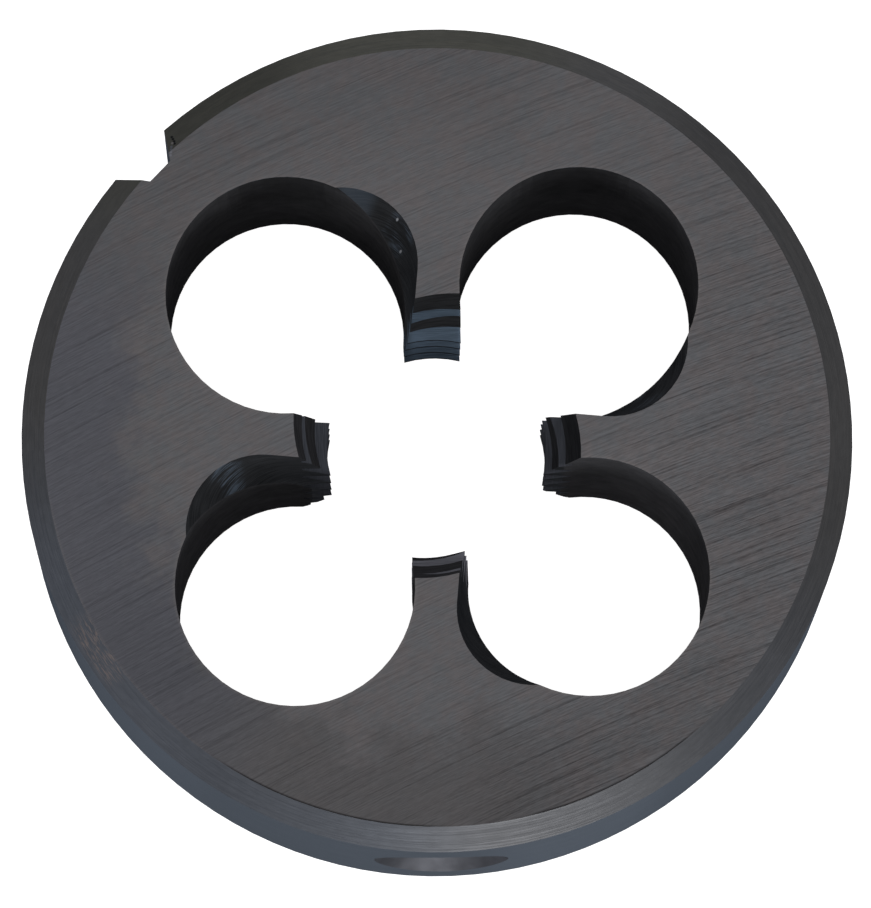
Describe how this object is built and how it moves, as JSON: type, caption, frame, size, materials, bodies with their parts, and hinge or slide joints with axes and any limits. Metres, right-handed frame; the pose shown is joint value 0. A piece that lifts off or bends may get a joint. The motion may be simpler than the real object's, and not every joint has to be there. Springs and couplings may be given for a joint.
{
  "type": "round threading die",
  "caption": "Round solid threading die with chip holes, a relieved lead and a coarse right-hand thread.",
  "frame": {"origin": "centre of the back face, on the bore's axis", "axes": "+Z along the bore, out of the lead face; +X and +Y each through the middle of a cutting land"},
  "size_m": [0.025, 0.025, 0.009],
  "materials": {
    "die_steel": "hardened tool steel, blackened, with ground faces"
  },
  "bodies": {
    "root": {"die_body": "die_steel"}
  },
  "joints": []
}
